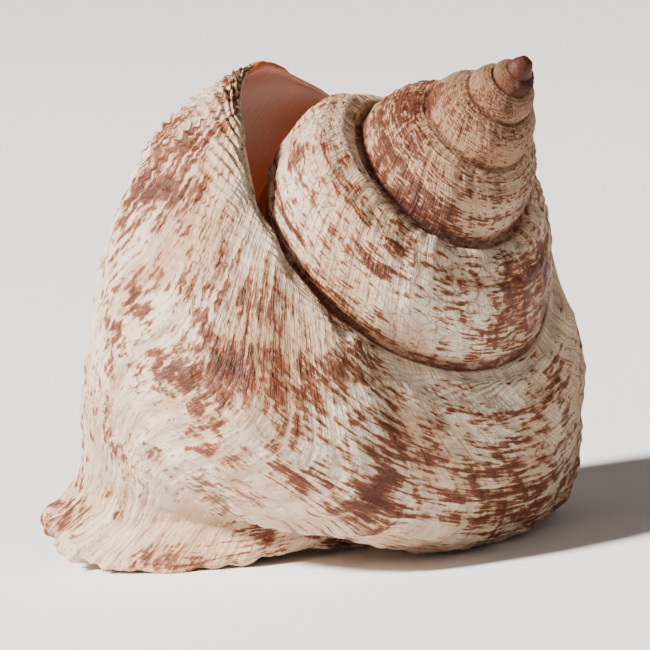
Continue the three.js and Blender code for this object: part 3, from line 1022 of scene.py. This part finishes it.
def fine_relief(nodes, shared):
    """Height of the detail too fine for the mesh, faint on the lining."""
    height = nodes.weighted(
        (shared.lines, 1.2), (shared.fine_lines, 0.25), (shared.broad_lines, 0.5),
        (shared.blotches, 0.5), (shared.specks, 0.3), (shared.dark_mark, -0.12),
        (nodes.ramp(shared.net, 0.0, 0.12), 0.05),
    )
    return nodes.times(height, nodes.ramp(shared.inside, 0.6, 0.1, 0.1, 1.0))


def shell_material():
    material = bpy.data.materials.new("shell_lime")
    nodes = Nodes(material)
    shared = shell_patterns(nodes)
    outside = outside_colour(nodes, shared)
    lining = lining_colour(nodes, shared)
    colour = nodes.mix(nodes.ramp(shared.inside, 0.35, 0.7), outside, lining)
    colour = nodes.tint(colour, CHALK, 0.7, shared.rim)
    nodes.put(nodes.shader.inputs["Base Color"], colour)
    nodes.put(nodes.shader.inputs["Roughness"], shell_roughness(nodes, shared))
    nodes.shader.inputs["Specular IOR Level"].default_value = 0.25
    nodes.shader.inputs["Subsurface Weight"].default_value = 0.05
    nodes.shader.inputs["Subsurface Radius"].default_value = (0.003, 0.0016, 0.001)
    nodes.shader.inputs["Subsurface Scale"].default_value = 0.4

    bump = nodes.new("ShaderNodeBump")
    nodes.put(bump.inputs["Height"], fine_relief(nodes, shared))
    bump.inputs["Distance"].default_value = BUMP_DEPTH
    bump.inputs["Strength"].default_value = 1.0
    nodes.put(nodes.shader.inputs["Normal"], bump.outputs[0])
    return material


mesh.materials.append(shell_material())


# ---- Floor, light and camera ----
def plain_material(name, colour, roughness):
    material = bpy.data.materials.new(name)
    material.use_nodes = True
    shader = material.node_tree.nodes["Principled BSDF"]
    shader.inputs["Base Color"].default_value = colour
    shader.inputs["Roughness"].default_value = roughness
    return material


FLOOR_HALF = 3.0          # metres
WORLD_COLOUR = (1.0, 0.94, 0.88, 1)
WORLD_STRENGTH = 0.13
SHELL_MIDDLE = Vector(((cad_low + cad_high) / 2).tolist())

floor_mesh = bpy.data.meshes.new("floor")
floor_mesh.from_pydata(
    [(-FLOOR_HALF, -FLOOR_HALF, 0), (FLOOR_HALF, -FLOOR_HALF, 0),
     (FLOOR_HALF, FLOOR_HALF, 0), (-FLOOR_HALF, FLOOR_HALF, 0)],
    [], [(0, 1, 2, 3)],
)
floor_mesh.materials.append(plain_material("floor_white", (0.93, 0.93, 0.93, 1), 0.9))
floor = bpy.data.objects.new("floor", floor_mesh)
bpy.context.scene.collection.objects.link(floor)

world = bpy.context.scene.world or bpy.data.worlds.new("World")
bpy.context.scene.world = world
world.use_nodes = True
background = world.node_tree.nodes["Background"]
background.inputs["Color"].default_value = WORLD_COLOUR
background.inputs["Strength"].default_value = WORLD_STRENGTH


def area_light(name, place_from, size, power, colour):
    """Round lamp at place_from, in metres from the middle of the shell, aimed at it."""
    light = bpy.data.lights.new(name, "AREA")
    light.shape = "DISK"
    light.size = size
    light.energy = power
    light.color = colour
    lamp = bpy.data.objects.new(name, light)
    lamp.location = SHELL_MIDDLE + Vector(place_from)
    lamp.rotation_euler = (-Vector(place_from)).to_track_quat("-Z", "Y").to_euler()
    bpy.context.scene.collection.objects.link(lamp)


area_light("key_light", (-2.3, -0.62, 1.9), 0.5, 370, (1.0, 0.95, 0.89))
area_light("fill_light", (0.3, -0.9, 0.3), 0.8, 1.3, (1.0, 0.92, 0.84))

# Camera right, up and back in the axes of the upright shell, and its place from the tip
# in steps along them, in drawing units
CAMERA_AXES = [(-0.826, -0.250, 0.505), (0.5635, -0.367, 0.740), (0.0, 0.896, 0.444)]
CAMERA_STEPS = (-203.7, -266.8, 8840)
IMAGE_WIDTH = 650
FOCUS = 9000              # focal length, in the same unit as the width
SENSOR_WIDTH = 36         # millimetres
right, up, back = (unit(REST @ np.array(axis)) for axis in CAMERA_AXES)
right = unit(right - back * (right @ back))
up = np.cross(back, right)
camera_data = bpy.data.cameras.new("camera")
camera = bpy.data.objects.new("camera", camera_data)
bpy.context.scene.collection.objects.link(camera)
from_tip = right * CAMERA_STEPS[0] + up * CAMERA_STEPS[1] + back * CAMERA_STEPS[2]
camera_place = from_tip * UNIT + shift
matrix = Matrix.Identity(4)
for k in range(3):
    matrix[k][0], matrix[k][1], matrix[k][2] = right[k], up[k], back[k]
    matrix[k][3] = camera_place[k]
camera.matrix_world = matrix
camera_data.sensor_width = SENSOR_WIDTH
camera_data.lens = SENSOR_WIDTH * FOCUS / IMAGE_WIDTH
camera_data.clip_start = 0.05
camera_data.clip_end = 50
bpy.context.scene.camera = camera
